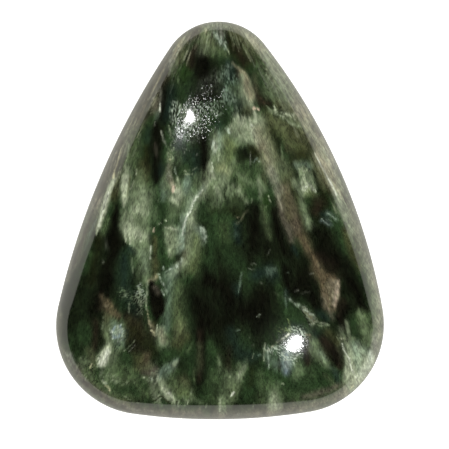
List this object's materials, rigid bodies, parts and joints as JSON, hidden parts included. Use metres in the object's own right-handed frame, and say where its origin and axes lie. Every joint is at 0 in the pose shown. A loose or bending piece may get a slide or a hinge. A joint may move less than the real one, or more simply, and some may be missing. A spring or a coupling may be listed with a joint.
{
  "type": "polished seraphinite stone",
  "caption": "Polished seraphinite: a rounded triangular stone with a domed face and a flat back, dark green with silvery feathers, to display, hold or set.",
  "frame": {"origin": "middle of the stone's box at its bottom, on the flat back", "axes": "+Z out of the domed face, +Y towards the narrow tip, +X to the right when the domed face is seen from above"},
  "size_m": [0.0328, 0.0398, 0.0105],
  "materials": {
    "seraphinite": "polished, glossy, dark green with silvery feathers"
  },
  "bodies": {
    "root": {"polished_stone": "seraphinite"}
  },
  "joints": []
}
